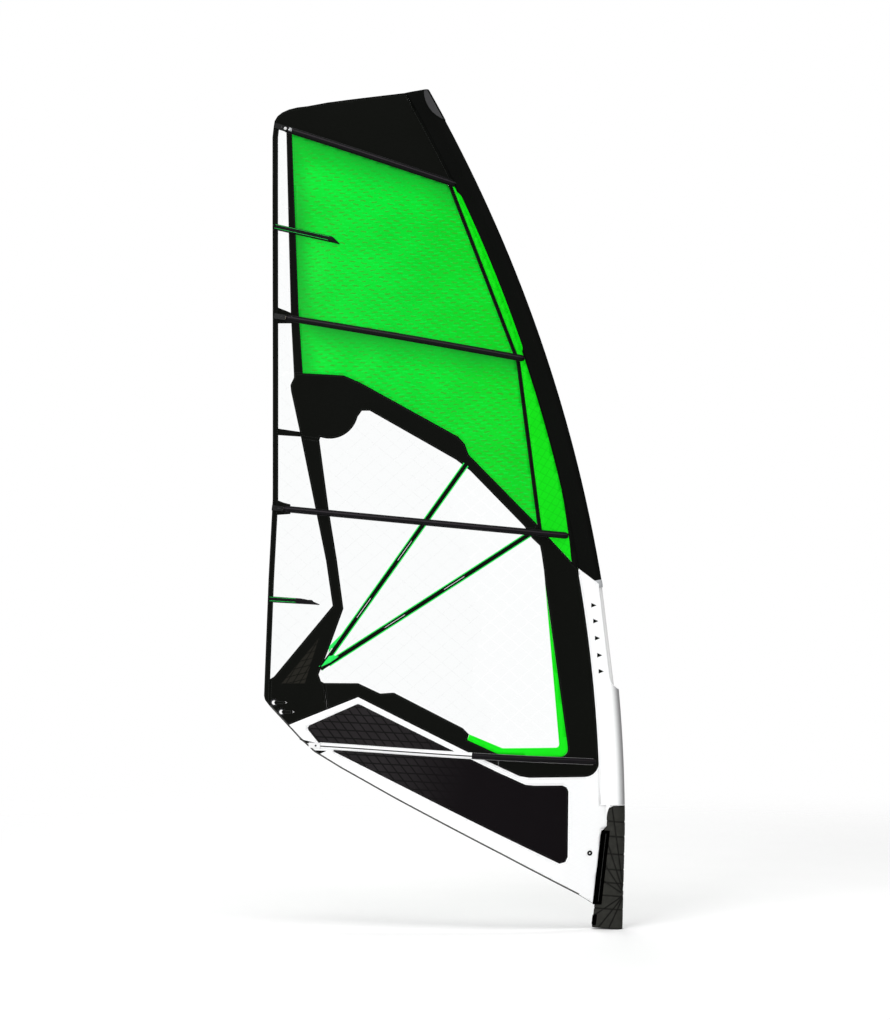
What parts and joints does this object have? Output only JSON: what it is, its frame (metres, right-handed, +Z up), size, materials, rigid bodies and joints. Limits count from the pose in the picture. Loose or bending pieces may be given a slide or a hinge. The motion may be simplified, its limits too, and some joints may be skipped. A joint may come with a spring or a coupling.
{
  "type": "windsurf sail rig",
  "caption": "Small wave windsurf sail set on a bent two-piece mast: battened film and cloth panels, luff sleeve with boom cut-out, mast extension with downhaul sheaves, and a tack fairing.",
  "frame": {"origin": "on the mast axis at the bottom of the mast extension", "axes": "+Z up along the foot of the mast, +X forward towards the luff, +Y athwartships; the belly is on the -Y side"},
  "size_m": [1.461, 0.1124, 3.3929],
  "materials": {
    "black_cloth": "laminated cloth, satin",
    "patch_cloth": "padded patch",
    "green_film": "coloured film over a scrim",
    "neon_film": "bright coloured film",
    "clear_film": "clear film",
    "white_cloth": "white laminate",
    "quilted_film": "film with a diamond scrim",
    "batten_laminate": "glass laminate",
    "black_plastic": "moulded",
    "steel": "stainless",
    "fairing_padding": "embossed padding",
    "flap_coating": "glossy coated cloth",
    "mast_laminate": "painted laminate",
    "tube_alloy": "anodised",
    "collar_plastic": "moulded",
    "button_plastic": "moulded",
    "sheave_plastic": "moulded",
    "rope": "braided line"
  },
  "bodies": {
    "rig": {"head_panel": "black_cloth", "head_patch": "patch_cloth", "upper_body_panel": "green_film", "lower_body_panel": "green_film", "body_seam_strip": "black_cloth", "upper_luff_strip": "neon_film", "lower_luff_strip": "neon_film", "arch_panel": "black_cloth", "upper_window": "clear_film", "lower_window": "clear_film", "leech_tape": "black_cloth", "upper_leech_window": "clear_film", "lower_leech_window": "clear_film", "inner_leech_tape": "black_cloth", "clew_arm": "black_cloth", "black_foot_band": "black_cloth", "luff_panel": "black_cloth", "window_trim": "neon_film", "diagonal_straps": "black_cloth", "leech_cross_strap": "black_cloth", "white_foot_panel": "white_cloth", "upper_foot_panel": "quilted_film", "lower_foot_panel": "quilted_film", "upper_luff_sleeve": "black_cloth", "lower_luff_sleeve": "white_cloth", "batten_pocket_1": "black_cloth", "batten_pocket_2": "black_cloth", "batten_pocket_3": "black_cloth", "batten_pocket_4": "white_cloth", "mini_batten_pockets": "black_cloth", "mini_battens": "batten_laminate", "tensioner_housings": "black_plastic", "clew_eyelets": "steel", "foot_eyelet": "black_plastic", "tack_fairing": "fairing_padding", "mast_bottom": "mast_laminate", "mast_top": "mast_laminate", "mast_tip_plug": "black_plastic", "extension_tube": "tube_alloy", "extension_base": "black_plastic", "tack_block": "black_plastic", "sheave_axles": "steel", "downhaul_line": "rope"},
    "batten_1": {"batten_1": "batten_laminate"},
    "batten_2": {"batten_2": "batten_laminate"},
    "batten_3": {"batten_3": "batten_laminate"},
    "batten_4": {"batten_4": "batten_laminate"},
    "tensioner_screw_1": {"tensioner_screw_1": "steel"},
    "tensioner_screw_2": {"tensioner_screw_2": "steel"},
    "tensioner_screw_3": {"tensioner_screw_3": "steel"},
    "tensioner_screw_4": {"tensioner_screw_4": "steel"},
    "fairing_flap": {"fairing_flap": "flap_coating"},
    "extension_collar": {"extension_collar": "collar_plastic"},
    "release_button": {"release_button": "button_plastic"},
    "extension_sheave_left": {"extension_sheave_left": "sheave_plastic"},
    "extension_sheave_right": {"extension_sheave_right": "sheave_plastic"},
    "tack_sheave_left": {"tack_sheave_left": "sheave_plastic"},
    "tack_sheave_right": {"tack_sheave_right": "sheave_plastic"}
  },
  "joints": [
    {"name": "tensioner_screw_1_turn", "type": "hinge", "parent": "rig", "child": "tensioner_screw_1", "pos_m": [-1.36908, -0.07688, 3.23703], "axis": [0.9537, -0.0122, -0.3006], "range_deg": [-1081, 1081]},
    {"name": "batten_1_slide", "type": "slide", "parent": "rig", "child": "batten_1", "axis": [0.9537, -0.0122, -0.3006], "range_m": [-0.003, 0.003]},
    {"name": "tensioner_screw_2_turn", "type": "hinge", "parent": "rig", "child": "tensioner_screw_2", "pos_m": [-1.37378, -0.03532, 2.47413], "axis": [0.9775, -0.1305, -0.166], "range_deg": [-1081, 1081]},
    {"name": "batten_2_slide", "type": "slide", "parent": "rig", "child": "batten_2", "axis": [0.9775, -0.1305, -0.166], "range_m": [-0.003, 0.003]},
    {"name": "tensioner_screw_3_turn", "type": "hinge", "parent": "rig", "child": "tensioner_screw_3", "pos_m": [-1.38517, -0.00718, 1.70002], "axis": [0.9953, -0.0232, -0.0942], "range_deg": [-1081, 1081]},
    {"name": "batten_3_slide", "type": "slide", "parent": "rig", "child": "batten_3", "axis": [0.9953, -0.0232, -0.0942], "range_m": [-0.003, 0.003]},
    {"name": "tensioner_screw_4_turn", "type": "hinge", "parent": "rig", "child": "tensioner_screw_4", "pos_m": [-1.23609, -0.0072, 0.74001], "axis": [0.9982, -0.0116, -0.0582], "range_deg": [-1081, 1081]},
    {"name": "batten_4_slide", "type": "slide", "parent": "rig", "child": "batten_4", "axis": [0.9982, -0.0116, -0.0582], "range_m": [-0.003, 0.003]},
    {"name": "fairing_flap_hinge", "type": "hinge", "parent": "rig", "child": "fairing_flap", "pos_m": [-0.08326, -0.0105, 0.097], "axis": [-0.1161, 0, -0.9932], "range_deg": [0, 90]},
    {"name": "collar_slide", "type": "slide", "parent": "rig", "child": "extension_collar", "axis": [0, 0, 1], "range_m": [-0.03, 0]},
    {"name": "button_press", "type": "slide", "parent": "extension_collar", "child": "release_button", "axis": [-1, 0, 0], "range_m": [0, 0.002]},
    {"name": "extension_sheave_left_spin", "type": "hinge", "parent": "rig", "child": "extension_sheave_left", "pos_m": [-0.04, 0.0045, 0.062], "axis": [0, 1, 0], "continuous": true},
    {"name": "extension_sheave_right_spin", "type": "hinge", "parent": "rig", "child": "extension_sheave_right", "pos_m": [-0.04, -0.0045, 0.062], "axis": [0, 1, 0], "continuous": true},
    {"name": "tack_sheave_left_spin", "type": "hinge", "parent": "rig", "child": "tack_sheave_left", "pos_m": [-0.04, 0.0045, 0.25], "axis": [0, 1, 0], "continuous": true},
    {"name": "tack_sheave_right_spin", "type": "hinge", "parent": "rig", "child": "tack_sheave_right", "pos_m": [-0.04, -0.0045, 0.25], "axis": [0, 1, 0], "continuous": true}
  ],
  "couplings": [
    {"joint": "tensioner_screw_1_turn", "follows": "batten_1_slide", "rad_per_m": 6283.2},
    {"joint": "tensioner_screw_2_turn", "follows": "batten_2_slide", "rad_per_m": 6283.2},
    {"joint": "tensioner_screw_3_turn", "follows": "batten_3_slide", "rad_per_m": 6283.2},
    {"joint": "tensioner_screw_4_turn", "follows": "batten_4_slide", "rad_per_m": 6283.2}
  ]
}
